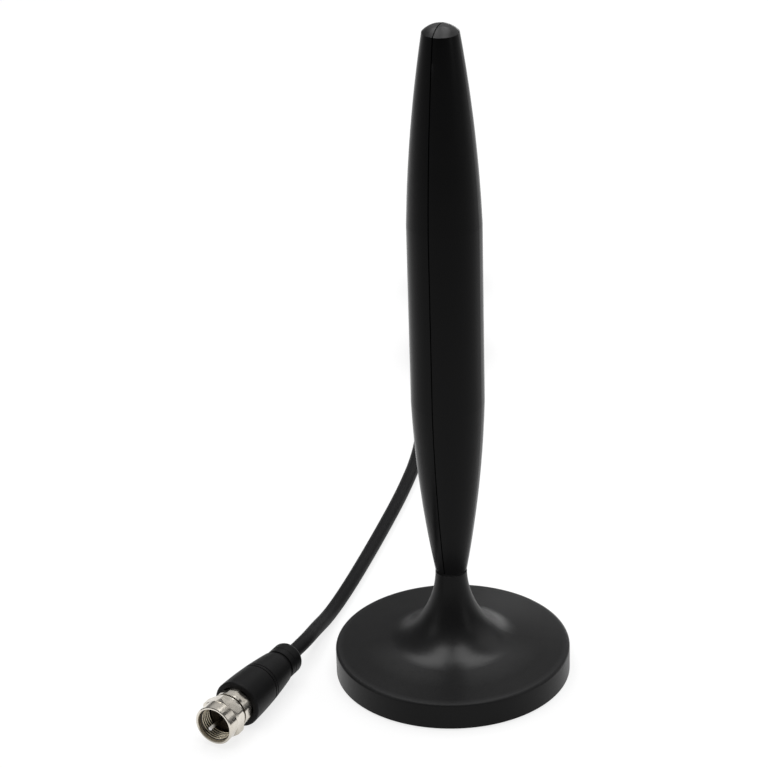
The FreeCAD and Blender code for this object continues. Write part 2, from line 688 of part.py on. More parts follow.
def coupling_nut():
    hex_start = NUT_COLLAR_LENGTH
    hex_end = NUT_COLLAR_LENGTH + NUT_HEX_LENGTH
    flat = NUT_FLATS / 2
    bevelled = plug_turned([
        (0, hex_start),
        (flat - NUT_EDGE, hex_start),
        (NUT_CORNER_RADIUS, hex_start + NUT_CHAMFER),
        (NUT_CORNER_RADIUS, hex_end - NUT_CHAMFER),
        (flat - NUT_EDGE, hex_end),
        (0, hex_end),
    ])
    collar = plug_turned([
        (0, 0),
        (NUT_COLLAR_RADIUS - NUT_EDGE, 0),
        (NUT_COLLAR_RADIUS, NUT_EDGE),
        (NUT_COLLAR_RADIUS, hex_start + NUT_CHAMFER),
        (NUT_TAIL_RADIUS, hex_start + NUT_CHAMFER),
        (NUT_TAIL_RADIUS, NUT_LENGTH - NUT_EDGE),
        (NUT_TAIL_RADIUS - NUT_EDGE, NUT_LENGTH),
        (0, NUT_LENGTH),
    ])
    hollow = plug_turned([
        (0, -OVERCUT),
        (NUT_BORE_RADIUS + NUT_EDGE, -OVERCUT),
        (NUT_BORE_RADIUS + NUT_EDGE, 0),
        (NUT_BORE_RADIUS, NUT_EDGE),
        (NUT_BORE_RADIUS, NUT_BORE_DEPTH),
        (POST_SHOULDER_RADIUS + RUNNING_GAP, NUT_BORE_DEPTH),
        (POST_SHOULDER_RADIUS + RUNNING_GAP, NUT_LENGTH + OVERCUT),
        (0, NUT_LENGTH + OVERCUT),
    ])
    nut = hexagon(NUT_FLATS, hex_start, hex_end).common(bevelled).fuse(collar).cut(hollow)
    return on_plug(nut.removeSplitter())


def plug_post():
    """Tube with the flange that holds the nut, and a smaller tail inside the boot."""
    shoulder = POST_FACE + POST_FLANGE_THICKNESS
    return on_plug(plug_turned([
        (POST_BORE_RADIUS, POST_FACE),
        (POST_FLANGE_RADIUS, POST_FACE),
        (POST_FLANGE_RADIUS, shoulder),
        (POST_SHOULDER_RADIUS, shoulder),
        (POST_SHOULDER_RADIUS, POST_SHOULDER_END),
        (POST_TUBE_RADIUS, POST_SHOULDER_END),
        (POST_TUBE_RADIUS, POST_END),
        (POST_BORE_RADIUS, POST_END),
    ]))


def plug_insulator():
    return on_plug(plug_turned([
        (LEAD_CORE_DIAMETER / 2 + CLOSE_GAP, POST_FACE),
        (POST_BORE_RADIUS - CLOSE_GAP, POST_FACE),
        (POST_BORE_RADIUS - CLOSE_GAP, POST_END),
        (LEAD_CORE_DIAMETER / 2 + CLOSE_GAP, POST_END),
    ]))


def plug_pin():
    """Centre pin: its thick free end stands on the insulator, its thin tail runs through it."""
    return on_plug(plug_turned([
        (0, -PIN_PROUD),
        (PIN_RADIUS - PIN_TIP, -PIN_PROUD),
        (PIN_RADIUS, PIN_TIP - PIN_PROUD),
        (PIN_RADIUS, POST_FACE),
        (LEAD_CORE_DIAMETER / 2, POST_FACE),
        (LEAD_CORE_DIAMETER / 2, POST_END),
        (0, POST_END),
    ]))


def plug_ferrule():
    """Nickel sleeve crimped to a hexagon behind its round lip."""
    sleeve = plug_turned([
        (0, FERRULE_START),
        (FERRULE_RADIUS, FERRULE_START),
        (FERRULE_RADIUS, FERRULE_END),
        (0, FERRULE_END),
    ])
    lip = plug_turned([
        (0, FERRULE_START),
        (FERRULE_RADIUS, FERRULE_START),
        (FERRULE_RADIUS, FERRULE_START + FERRULE_LIP),
        (0, FERRULE_START + FERRULE_LIP),
    ])
    crimped = sleeve.common(hexagon(FERRULE_FLATS, FERRULE_START, FERRULE_END)).fuse(lip)
    bore = cylinder(
        POST_SHOULDER_RADIUS + CLOSE_GAP,
        Vector(0, 0, -FERRULE_END - OVERCUT),
        Vector(0, 0, -FERRULE_START + OVERCUT),
    )
    return on_plug(crimped.cut(bore).removeSplitter())


def boot_radius(back):
    """Radius of the boot between its middle and its front, at a distance from its back end."""
    rise = (BOOT_FRONT_RADIUS - BOOT_MIDDLE_RADIUS) / (PLUG_LENGTH - BOOT_START - BOOT_MIDDLE_BACK)
    return BOOT_MIDDLE_RADIUS + rise * (back - BOOT_MIDDLE_BACK)


def boot_ring(radius, back):
    """A shallow groove round the boot, where it has this radius."""
    centre = Vector(0, 0, back - PLUG_LENGTH)
    return Part.makeTorus(radius + BOOT_RING_RADIUS / 2, BOOT_RING_RADIUS, centre)


def plug_boot():
    """Moulded boot: tapered body, a groove, and a rounded collar round the lead."""
    waist = (BOOT_WAIST_RADIUS, BOOT_WAIST_BACK - PLUG_LENGTH)
    middle = (BOOT_MIDDLE_RADIUS, BOOT_MIDDLE_BACK - PLUG_LENGTH)
    front = (BOOT_FRONT_RADIUS, -BOOT_START - BOOT_EDGE)
    bend = BOOT_EDGE * (1 - math.sqrt(0.5))
    groove_radius = BOOT_WAIST_RADIUS - BOOT_GROOVE_DEPTH
    groove_back = waist[1] - BOOT_GROOVE_WIDTH
    collar_end = BOOT_COLLAR_ROUND - PLUG_LENGTH
    collar_bend = BOOT_COLLAR_ROUND * (1 - math.sqrt(0.5))
    edges = [
        line((0, -PLUG_LENGTH), (BOOT_COLLAR_RADIUS - BOOT_COLLAR_ROUND, -PLUG_LENGTH)),
        arc(
            (BOOT_COLLAR_RADIUS - BOOT_COLLAR_ROUND, -PLUG_LENGTH),
            (BOOT_COLLAR_RADIUS - collar_bend, collar_bend - PLUG_LENGTH),
            (BOOT_COLLAR_RADIUS, collar_end),
        ),
        line((BOOT_COLLAR_RADIUS, collar_end), (BOOT_COLLAR_RADIUS, groove_back)),
        line((BOOT_COLLAR_RADIUS, groove_back), (groove_radius, groove_back)),
        line((groove_radius, groove_back), (groove_radius, waist[1])),
        line((groove_radius, waist[1]), waist),
        arc(waist, middle, front),
        arc(
            front,
            (BOOT_FRONT_RADIUS - bend, -BOOT_START - bend),
            (BOOT_FRONT_RADIUS - BOOT_EDGE, -BOOT_START),
        ),
        line((BOOT_FRONT_RADIUS - BOOT_EDGE, -BOOT_START), (0, -BOOT_START)),
        line((0, -BOOT_START), (0, -PLUG_LENGTH)),
    ]
    hollow = plug_turned([
        (0, BOOT_START - OVERCUT),
        (FERRULE_RADIUS + CLOSE_GAP, BOOT_START - OVERCUT),
        (FERRULE_RADIUS + CLOSE_GAP, FERRULE_END + CLOSE_GAP),
        (POST_TUBE_RADIUS + CLOSE_GAP, FERRULE_END + CLOSE_GAP),
        (POST_TUBE_RADIUS + CLOSE_GAP, POST_END + CLOSE_GAP),
        (0, POST_END + CLOSE_GAP),
    ])
    boot = turned(edges).cut(hollow).cut(boot_ring(BOOT_COLLAR_RADIUS, BOOT_LIP_BACK))
    for index in range(BOOT_RING_COUNT):
        back = BOOT_RING_FIRST_BACK + index * BOOT_RING_PITCH
        boot = boot.cut(boot_ring(boot_radius(back), back))
    return on_plug(boot)


def main():
    shell = wand_shell()
    tie = lead_tie()
    pieces = {
        "base_cover": base_cover(),
        "base_plate": base_plate(),
        "base_screws": base_screws(),
        "foot_pad": foot_pad(),
        "ballast_ring": ballast_ring(),
        "lead_grommet": lead_grommet(),
        "wand_left_shell": wand_left_shell(shell),
        "wand_right_shell": wand_right_shell(shell),
        "dipole_board": dipole_board(),
        "lead_through_base": lead_through_base(),
        "lead_base_run": free_lead("lead_base_run", BASE_RUN),
        "lead_plug_run": free_lead("lead_plug_run", PLUG_RUN),
        "lead_hank": lead_hank(tie),
        "lead_tie": tie,
        "plug_boot": plug_boot(),
        "plug_ferrule": plug_ferrule(),
        "plug_post": plug_post(),
        "plug_insulator": plug_insulator(),
        "plug_pin": plug_pin(),
        "coupling_nut": coupling_nut(),
    }
    os.makedirs("parts", exist_ok=True)
    for name, shape in pieces.items():
        box = shape.BoundBox
        print(name, "solids", len(shape.Solids), "valid", shape.isValid(), "volume", round(shape.Volume, 1),
              "z", round(box.ZMin, 2), round(box.ZMax, 2))
        shape.exportStep("parts/" + name + ".step")


main()
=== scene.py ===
import json
import math

import bpy
import numpy as np
from bpy.props import FloatProperty, FloatVectorProperty, IntProperty, PointerProperty
from mathutils import Matrix, Vector


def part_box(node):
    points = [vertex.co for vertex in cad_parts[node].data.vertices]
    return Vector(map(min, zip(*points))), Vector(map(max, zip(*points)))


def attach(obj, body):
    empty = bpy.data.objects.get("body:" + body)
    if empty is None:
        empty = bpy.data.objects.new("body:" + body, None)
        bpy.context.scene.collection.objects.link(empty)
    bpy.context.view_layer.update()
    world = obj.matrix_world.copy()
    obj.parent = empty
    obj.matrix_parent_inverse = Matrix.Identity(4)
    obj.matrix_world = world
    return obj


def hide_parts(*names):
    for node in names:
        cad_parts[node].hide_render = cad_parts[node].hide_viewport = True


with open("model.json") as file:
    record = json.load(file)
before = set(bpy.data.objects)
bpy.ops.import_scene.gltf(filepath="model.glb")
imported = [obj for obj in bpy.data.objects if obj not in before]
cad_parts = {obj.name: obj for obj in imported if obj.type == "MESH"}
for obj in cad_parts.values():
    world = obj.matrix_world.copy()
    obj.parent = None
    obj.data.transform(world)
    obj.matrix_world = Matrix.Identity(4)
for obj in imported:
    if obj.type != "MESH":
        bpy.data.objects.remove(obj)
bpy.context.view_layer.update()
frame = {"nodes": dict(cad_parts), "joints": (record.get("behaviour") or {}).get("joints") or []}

bl_info = {
    "name": "Indoor Antenna Dresser",
    "version": (1, 0, 0),
    "blender": (4, 5, 0),
    "location": "View3D > Sidebar > Antenna",
    "description": "Finishes, lead and studio of a table-top indoor antenna",
    "category": "Object",
}

NODES = frame["nodes"]
LEAD_NODES = ("lead_base_run", "lead_plug_run", "lead_hank")
PLUG_NODES = ("plug_boot", "plug_ferrule", "plug_post", "plug_insulator", "plug_pin", "coupling_nut")

# Route of the lead from the base to the hank, and from the hank to the plug, in metres
BASE_RUN = (
    (0.0000, 0.02899, 0.00425),
    (0.0000, 0.0440, 0.00425),
    (0.0003, 0.0600, 0.00255),
    (0.0014, 0.0780, 0.00205),
    (0.0032, 0.0980, 0.00205),
    (0.0060, 0.1240, 0.00205),
    (0.0084, 0.1520, 0.00205),
    (0.0099, 0.1780, 0.00205),
)
PLUG_RUN = (
    (-0.0094, 0.1750, 0.00205),
    (-0.0076, 0.1480, 0.00205),
    (-0.0092, 0.1220, 0.00205),
    (-0.0140, 0.0980, 0.00205),
    (-0.0202, 0.0740, 0.00205),
    (-0.0260, 0.0530, 0.00205),
    (-0.0307, 0.0372, 0.00205),
    (-0.0349, 0.0246, 0.00225),
    (-0.0379, 0.0142, 0.0046),
    (-0.04078, 0.00363, 0.00665),
    (-0.0446, -0.0034, 0.00665),
)

# Where a finish changes over a piece: start and end of each change, in metres
CROWN_DEPTH = 0.0021            # edge of the wand's crown below its top
CROWN_BLUR = 0.00005            # half width of the change at that edge
WAND_PAINTED_LIGHT = (0.150, 0.045)     # heights on the wand, between which painted light makes the shell paler towards its foot
FOOT_LOW = (0.0088, 0.0108)     # heights on the base cover, from the disc into the flare's foot
FOOT_HIGH = (0.0180, 0.0130)    # heights on the base cover, from the neck into the flare's foot
FOOT_FRONT = (-0.001, -0.010)   # Y on the base cover
RIM_LOW = (0.0072, 0.0077)      # heights on the rim, below its painted highlight line
RIM_HIGH = (0.0081, 0.0079)     # heights on the rim, above its painted highlight line
PLUG_LOW = (0.0080, 0.0030)     # heights on the plug, between which painted shade grows towards the table
BORE_WALL = (0.0049, 0.0048)    # distances from the nut's axis
MOUTH_END = (0.0012, 0.0019)    # depths behind the nut's mouth, over which the bore darkens, partly tarnish and partly painted shade
PIN_PAINTED_SHADE_DEPTHS = (-0.0004, 0.0005)    # depths behind the nut's mouth, over which painted shade darkens the pin
RIDGE_ROOT_TO_CREST = (0.00452, 0.0044)  # distances from the nut's axis, from the roots' painted shade to the worn crests

# How strong those changes are
RIM_PAINTED_HIGHLIGHT = 2.2                  # times the base's own tone, on the painted highlight line
PLUG_PAINTED_SHADE = 0.7              # share of the painted shade low on the plug
BORE_METAL = 0.3                # share of bare metal in the nut's bore
RIDGE_METAL = 0.6               # share of bare metal on the thread's crests
PIN_METAL = 0.4                 # share of bare metal on the pin

# Patterns that all plastics or all metals share: scales per metre, depth in metres
TONE_SCALE = 60.0
TONE_SPREAD = 1.25
GLOSS_SCALE = 95.0
GLOSS_SPREAD = (-0.03, 0.04)
WAVE_SCALE = 45.0
METAL_GLOSS_SPREAD = (-0.05, 0.07)
METAL_GLOSS_FINER = 2.3         # times the scale of the metal's clouds
METAL_DENT_FINER = 1.4          # times the same scale
METAL_DENT = 0.000002

# Lamps: name, place, target, width and height in metres, power in watts
LAMPS = (
    ("left_strip", (-0.27, 0.1, 0.92), (-0.27, 0.1, 0.0), 0.36, 1.2, 4.5),
    ("right_strip", (0.23, 0.1, 0.92), (0.23, 0.1, 0.0), 0.36, 1.2, 4.5),
    ("rear_panel", (0.15, 1.1, 0.8), (0.0, 0.0, 0.05), 1.4, 0.7, 1.2),
    ("right_side", (0.75, 0.25, 0.5), (-0.03, -0.02, 0.01), 0.8, 0.6, 1.0),
    ("right_front", (0.92, -0.51, 0.33), (0.0, 0.0, 0.03), 0.35, 0.45, 0.9),
    ("right_rear", (0.36, 1.12, 0.13), (0.0, 0.0, 0.04), 0.58, 0.26, 0.82),
    ("left_front", (-1.0, -0.40, 0.43), (0.0, 0.0, 0.03), 0.5, 0.5, 1.0),
)
TABLE_REACH = 4.0               # metres from the middle to each side
SENSOR_WIDTH = 36.0             # millimetres


# Settings

def length(title, about, default):
    """A setting in metres."""
    return FloatProperty(name=title, description=about, default=default, unit="LENGTH", precision=5)


def angle(title, about, degrees):
    """A setting in radians, with its default given in degrees."""
    return FloatProperty(
        name=title, description=about, default=math.radians(degrees), subtype="ANGLE", unit="ROTATION"
    )


def colour(title, about, default):
    """A setting that holds a tone."""
    return FloatVectorProperty(
        name=title, description=about, default=default, subtype="COLOR", size=3, min=0.0, max=1.0
    )


def share(title, about, default):
    """A setting from 0 to 1."""
    return FloatProperty(
        name=title, description=about, default=default, subtype="FACTOR", min=0.0, max=1.0
    )


class AntennaFinish(bpy.types.PropertyGroup):
    """Colours and gloss of the antenna's plastics, metals and soft pieces."""

    wand: colour("Wand", "Black of the wand's shell", (0.0014, 0.0014, 0.0015))
    # painted light: the paler black towards the shell's foot
    wand_foot_painted_light: colour("Wand's foot", "Paler black of the shell's lower end", (0.0150, 0.0150, 0.0154))
    wand_gloss: share("Wand roughness", "Middle roughness of the wand's shell", 0.22)
    crown_polish: share("Crown polish", "Polish on the wand's crown", 0.78)
    base: colour("Base", "Black of the base cover", (0.0095, 0.0095, 0.0097))
    base_gloss: share("Base roughness", "Middle roughness of the base cover", 0.33)
    foot_polish: share("Foot polish", "Polish on the front of the flare's foot", 0.5)
    rubber: colour("Boot", "Black of the plug's boot and the grommet", (0.0045, 0.0045, 0.0047))
    jacket: colour("Lead", "Black of the lead's jacket", (0.009, 0.009, 0.0094))
    nickel: colour("Nickel", "Bright tone of the plating", (0.78, 0.74, 0.67))
    nickel_shade: colour("Dull nickel", "Dull tone of the plating", (0.66, 0.615, 0.54))
    # painted shade: the darker tone of the plating low on the plug, near the table
    painted_shade: colour("Tarnish", "Dark tone of the plating low on the plug", (0.40, 0.37, 0.32))
    # partly the brass's own tarnish, partly painted shade deeper in the bore
    bore: colour("Bore", "Tarnished brown inside the nut", (0.10, 0.08, 0.054))
    mouth: colour("Mouth", "Paler tone just inside the nut's mouth", (0.50, 0.43, 0.31))
    # painted shade: the dark tone in the thread's roots
    root: colour("Root", "Dark roots of the nut's thread", (0.030, 0.024, 0.016))
    crest: colour("Crest", "Worn crests of the nut's thread", (0.86, 0.77, 0.58))
    pin: colour("Pin", "Bright tone of the pin's tip", (0.95, 0.93, 0.90))
    pin_dull: colour("Dull pin", "Dull tone of the pin's tip", (0.86, 0.83, 0.79))
    # painted shade: the pin's darker tone inside the nut
    pin_painted_shade: colour("Pin's tarnish", "Tone of the pin inside the nut", (0.060, 0.050, 0.036))
    zinc: colour("Zinc", "Bright tone of the screws and the ballast", (0.56, 0.56, 0.57))
    zinc_dull: colour("Dull zinc", "Dull tone of the screws and the ballast", (0.40, 0.40, 0.42))
    # painted shade: the insulator darkened from its pale white
    insulator: colour("Insulator", "Tone of the plug's insulator", (0.16, 0.145, 0.12))
    laminate: colour("Board", "Green of the board inside the wand", (0.02, 0.10, 0.035))
    # painted shade: darker in the middle of the cells, which are hollows
    foam: colour("Foam", "Black in the middle of the foot pad's cells", (0.010, 0.010, 0.010))
    foam_wall: colour("Foam walls", "Grey of the walls between the cells", (0.034, 0.034, 0.035))
    # painted shade: darker between the yarns
    strap: colour("Strap", "Black between the strap's yarns", (0.006, 0.006, 0.007))
    strap_yarn: colour("Strap's yarn", "Grey black on top of the yarns", (0.022, 0.022, 0.024))


class AntennaLead(bpy.types.PropertyGroup):
    """Sizes of the lead and of its tied hank."""

    diameter: length("Diameter", "Outside of the jacket", 0.004)
    total: length("Length", "From the base to the plug", 1.238)
    turns: IntProperty(name="Turns", description="Far loops of the hank", default=5, min=2)
    waist: length("Waist", "Half distance of the strands at the strap", 0.00198)
    pitch: length("Pitch", "Height of one strand on another", 0.0040)
    floor: length("Floor run", "Centre of the lead above the table", 0.00205)
    play: length("Play", "Room between the loops and the outside of the hank", 0.0004)


class AntennaThread(bpy.types.PropertyGroup):
    """Sizes of the coupling nut's inner thread."""

    pitch: length("Pitch", "From one ridge to the next", 0.000794)
    root: length("Root", "Radius at the foot of the ridges", 0.00479)
    crest: length("Crest", "Radius at the top of the ridges", 0.00434)
    start: length("Start", "First ridge behind the nut's mouth", 0.0010)
    end: length("End", "Last ridge behind the nut's mouth", 0.00515)


class AntennaStage(bpy.types.PropertyGroup):
    """Camera, table and room."""

    place: FloatVectorProperty(
        name="Camera", description="Place of the camera", default=(0.0, -0.74894, 0.46115), unit="LENGTH"
    )
    yaw: angle("Yaw", "Turn of the camera to the right", -1.27523)
    pitch: angle("Pitch", "Fall of the camera's view", 26.52055)
    roll: angle("Roll", "Turn of the camera about its view", -1.7168)
    lens: FloatProperty(
        name="Lens", description="Focal length", default=149.4, subtype="DISTANCE_CAMERA", unit="CAMERA"
    )
    floor: colour("Floor", "Tone of the table", (0.26, 0.26, 0.26))
    floor_glow: share("Floor glow", "White that the table shows beside the light on it", 0.78)
    room: colour("Room", "Light of the room", (0.16, 0.16, 0.162))


def finish():
    """The settings of the finishes."""
    return bpy.context.scene.antenna_finish


def lead_sizes():
    """The settings of the lead."""
    return bpy.context.scene.antenna_lead


# Shared shader groups

def add_node(tree, kind, inputs=None, **settings):
    """A new node with its settings and the values of its inputs."""
    node = tree.nodes.new(kind)
    for key, value in settings.items():
        setattr(node, key, value)
    for key, value in (inputs or {}).items():
        node.inputs[key].default_value = value
    return node


def new_group(name, inputs, outputs):
    """An empty shader group with a vector and number inputs and number outputs."""
    tree = bpy.data.node_groups.new(name, "ShaderNodeTree")
    tree.interface.new_socket("Vector", in_out="INPUT", socket_type="NodeSocketVector")
    for socket in inputs:
        tree.interface.new_socket(socket, in_out="INPUT", socket_type="NodeSocketFloat")
    for socket in outputs:
        tree.interface.new_socket(socket, in_out="OUTPUT", socket_type="NodeSocketFloat")
    return tree, tree.nodes.new("NodeGroupInput"), tree.nodes.new("NodeGroupOutput")


def moulded_grain_group():
    """Fine grain of a moulded skin: noise with its contrast stretched, as a height from 0 to 1."""
    tree, inside, outside = new_group("moulded_grain", ["Scale"], ["Height"])
    noise = add_node(tree, "ShaderNodeTexNoise", {"Detail": 2.0, "Roughness": 0.55})
    stretch = add_node(tree, "ShaderNodeMapRange", {"From Min": 0.32, "From Max": 0.68})
    tree.links.new(inside.outputs["Vector"], noise.inputs["Vector"])
    tree.links.new(inside.outputs["Scale"], noise.inputs["Scale"])
    tree.links.new(noise.outputs["Fac"], stretch.inputs["Value"])
    tree.links.new(stretch.outputs["Result"], outside.inputs["Height"])
    return tree


def slow_drift_group():
    """Slow change over a surface: wide soft noise, mapped to run between two values."""
    tree, inside, outside = new_group("slow_drift", ["Scale", "Low", "High"], ["Value"])
    noise = add_node(tree, "ShaderNodeTexNoise", {"Detail": 3.0, "Roughness": 0.5})
    spread = add_node(tree, "ShaderNodeMapRange", {"From Min": 0.3, "From Max": 0.7})
    tree.links.new(inside.outputs["Vector"], noise.inputs["Vector"])
    tree.links.new(inside.outputs["Scale"], noise.inputs["Scale"])
    tree.links.new(noise.outputs["Fac"], spread.inputs["Value"])
    tree.links.new(inside.outputs["Low"], spread.inputs["To Min"])
    tree.links.new(inside.outputs["High"], spread.inputs["To Max"])
    tree.links.new(spread.outputs["Result"], outside.inputs["Value"])
    return tree


def plug_frame():
    """Mouth of the nut, its axis out of the mouth, and two directions across it.

    The mouth is the nut's farthest point along the axis, carried onto the axis."""
    joint = frame["joints"][0]
    axis = np.array(Vector(joint["axis"]).normalized())
    centre = np.array(joint["pos_m"])
    nut = NODES["coupling_nut"]
    places = np.empty(3 * len(nut.data.vertices))
    nut.data.vertices.foreach_get("co", places)
    turn = np.array(nut.matrix_world)
    places = places.reshape(-1, 3) @ turn[:3, :3].T + turn[:3, 3]
    mouth = centre + axis * np.max((places - centre) @ axis)
    across = np.cross(axis, (0.0, 0.0, 1.0))
    across /= np.linalg.norm(across)
    return mouth, axis, across, np.cross(axis, across)


def plug_axis_group():
    """Places of a point in the plug: its distance from the plug's axis and its depth behind the mouth.

    The distance is the length of the cross product of the axis with the way from the mouth to the
    point, and the depth is their dot product with its sign turned."""
    tree, inside, outside = new_group("plug_axis", [], ["Radius", "Depth"])
    mouth, axis, _, _ = plug_frame()
    way = add_node(tree, "ShaderNodeVectorMath", {1: mouth}, operation="SUBTRACT")
    across = add_node(tree, "ShaderNodeVectorMath", {1: axis}, operation="CROSS_PRODUCT")
    radius = add_node(tree, "ShaderNodeVectorMath", operation="LENGTH")
    depth = add_node(tree, "ShaderNodeVectorMath", {1: -axis}, operation="DOT_PRODUCT")
    tree.links.new(inside.outputs["Vector"], way.inputs[0])
    tree.links.new(way.outputs["Vector"], across.inputs[0])
    tree.links.new(across.outputs["Vector"], radius.inputs[0])
    tree.links.new(way.outputs["Vector"], depth.inputs[0])
    tree.links.new(radius.outputs["Value"], outside.inputs["Radius"])
    tree.links.new(depth.outputs["Value"], outside.inputs["Depth"])
    return tree


def place_group(tree, vector, name, build, **values):
    """Places a shader group, which is built when it is first used, and gives its outputs."""
    node = tree.nodes.new("ShaderNodeGroup")
    node.node_tree = bpy.data.node_groups.get(name) or build()
    for socket, value in values.items():
        node.inputs[socket].default_value = value
    tree.links.new(vector, node.inputs["Vector"])
    return node.outputs


def place_grain(tree, vector, scale):
    """Height of the fine grain."""
    return place_group(tree, vector, "moulded_grain", moulded_grain_group, Scale=scale)["Height"]


def place_drift(tree, vector, scale, low=0.0, high=1.0):
    """Value of the slow drift."""
    values = {"Scale": scale, "Low": low, "High": high}
    return place_group(tree, vector, "slow_drift", slow_drift_group, **values)["Value"]


def place_plug_axis(tree, vector):
    """Distance from the plug's axis and depth behind the nut's mouth."""
    outputs = place_group(tree, vector, "plug_axis", plug_axis_group)
    return outputs["Radius"], outputs["Depth"]


# Shared shader parts

def shader_of(tree):
    """The material's Principled shader."""
    return tree.nodes["Principled BSDF"]


def coordinates_of(tree):
    """The Object coordinates of the point."""
    return tree.nodes["Texture Coordinate"].outputs["Object"]


def new_material(name):
    """A material with its Principled shader and the Object coordinates that its patterns read."""
    material = bpy.data.materials.new(name)
    material.use_nodes = True
    tree = material.node_tree
    tree.nodes.new("ShaderNodeTexCoord")
    return material, tree, shader_of(tree), coordinates_of(tree)


def place_of(tree):
    """X, Y and Z of the point on the piece."""
    place = tree.nodes.new("ShaderNodeSeparateXYZ")
    tree.links.new(coordinates_of(tree), place.inputs["Vector"])
    return place.outputs


def ramp(tree, value, span, most=1.0, least=0.0):
    """A value that runs from its least at the span's start to its most at the span's end."""
    limits = {"From Min": span[0], "From Max": span[1], "To Min": least, "To Max": most}
    node = add_node(tree, "ShaderNodeMapRange", limits)
    tree.links.new(value, node.inputs["Value"])
    return node.outputs["Result"]


def times(tree, first, second):
    """The product of two values."""
    node = add_node(tree, "ShaderNodeMath", operation="MULTIPLY")
    tree.links.new(first, node.inputs[0])
    tree.links.new(second, node.inputs[1])
    return node.outputs["Value"]


def blend_tones(tree, factor, first, second):
    """A tone between two others."""
    mix = add_node(tree, "ShaderNodeMix", data_type="RGBA")
    mix.inputs["A"].default_value = (*first, 1.0)
    mix.inputs["B"].default_value = (*second, 1.0)
    tree.links.new(factor, mix.inputs["Factor"])
    return mix.outputs["Result"]


def lighter(tone, factor):
    """A tone with each of its parts multiplied, up to 1."""
    return tuple(min(1.0, part * factor) for part in tone)


def bump(tree, height, distance, below=None):
    """A normal bent by a height, over another bump where one is given."""
    node = add_node(tree, "ShaderNodeBump", {"Strength": 1.0, "Distance": distance})
    tree.links.new(height, node.inputs["Height"])
    if below is not None:
        tree.links.new(below, node.inputs["Normal"])
    return node.outputs["Normal"]


def polish(tree, weight, roughness):
    """A polished skin where the weight is above 0."""
    shader = shader_of(tree)
    tree.links.new(weight, shader.inputs["Coat Weight"])
    shader.inputs["Coat Roughness"].default_value = roughness


def stain(tree, where, tone):
    """Another tone over the shader's own colour, as far as the mask says."""
    shader = shader_of(tree)
    mix = add_node(tree, "ShaderNodeMix", data_type="RGBA")
    mix.inputs["B"].default_value = (*tone, 1.0)
    tree.links.new(where, mix.inputs["Factor"])
    tree.links.new(shader.inputs["Base Color"].links[0].from_socket, mix.inputs["A"])
    tree.links.new(mix.outputs["Result"], shader.inputs["Base Color"])


def moulded(name, tone, roughness, ior, grain, grain_depth, wave_depth, level=0.5):
    """Moulded plastic: a slow drift of tone and gloss, wide flow waves and a fine grain."""
    material, tree, shader, coordinates = new_material(name)
    drift = place_drift(tree, coordinates, TONE_SCALE)
    tones = blend_tones(tree, drift, tone, lighter(tone, TONE_SPREAD))
    tree.links.new(tones, shader.inputs["Base Color"])
    low, high = GLOSS_SPREAD
    gloss = place_drift(tree, coordinates, GLOSS_SCALE, roughness + low, roughness + high)
    tree.links.new(gloss, shader.inputs["Roughness"])
    waves = bump(tree, place_drift(tree, coordinates, WAVE_SCALE), wave_depth)
    skin = bump(tree, place_grain(tree, coordinates, grain), grain_depth, below=waves)
    tree.links.new(skin, shader.inputs["Normal"])
    shader.inputs["IOR"].default_value = ior
    shader.inputs["Specular IOR Level"].default_value = level
    return material


def plain_metal(name, bright, dull, roughness, scale, metallic=1.0):
    """Plated metal: clouded tone and gloss, and a trace of unevenness."""
    material, tree, shader, coordinates = new_material(name)
    cloud = place_drift(tree, coordinates, scale)
    tree.links.new(blend_tones(tree, cloud, bright, dull), shader.inputs["Base Color"])
    low, high = METAL_GLOSS_SPREAD
    gloss = place_drift(tree, coordinates, scale * METAL_GLOSS_FINER, roughness + low, roughness + high)
    tree.links.new(gloss, shader.inputs["Roughness"])
    uneven = bump(tree, place_drift(tree, coordinates, scale * METAL_DENT_FINER), METAL_DENT)
    tree.links.new(uneven, shader.inputs["Normal"])
    shader.inputs["Metallic"].default_value = metallic
    return material


# Finishes

def wand_plastic():
    """Black of the wand's shell, made paler towards its foot by painted light, with a polish on its
    crown.
    """
    material = moulded(
        "wand_plastic", finish().wand, roughness=finish().wand_gloss, ior=1.2, level=0.32,
        grain=5200.0, grain_depth=0.0000012, wave_depth=0.00004,
    )
    tree = material.node_tree
    height = place_of(tree)["Z"]
    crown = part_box("wand_right_shell")[1].z - CROWN_DEPTH
    on_crown = ramp(tree, height, (crown - CROWN_BLUR, crown + CROWN_BLUR), most=finish().crown_polish)
    polish(tree, on_crown, roughness=0.5)
    # painted light: the shell grows paler towards its foot
    stain(tree, ramp(tree, height, WAND_PAINTED_LIGHT), finish().wand_foot_painted_light)
    return material


def base_plastic():
    """Black of the base cover: a fine matte skin, with a polish on the front of the flare's foot
    and a painted highlight: a paler line along the rim's upper edge."""
    material = moulded(
        "base_plastic", finish().base, roughness=finish().base_gloss, ior=1.2,
        grain=3400.0, grain_depth=0.000012, wave_depth=0.00001,
    )
    tree = material.node_tree
    place = place_of(tree)
    above_disc = ramp(tree, place["Z"], FOOT_LOW, most=finish().foot_polish)
    foot = times(tree, above_disc, ramp(tree, place["Z"], FOOT_HIGH))
    polish(tree, times(tree, foot, ramp(tree, place["Y"], FOOT_FRONT)), roughness=0.28)
    # painted highlight: a paler line along the rim's upper edge, where light catches its rounded edge
    edge = times(tree, ramp(tree, place["Z"], RIM_LOW), ramp(tree, place["Z"], RIM_HIGH))
    stain(tree, edge, lighter(finish().base, RIM_PAINTED_HIGHLIGHT))
    return material


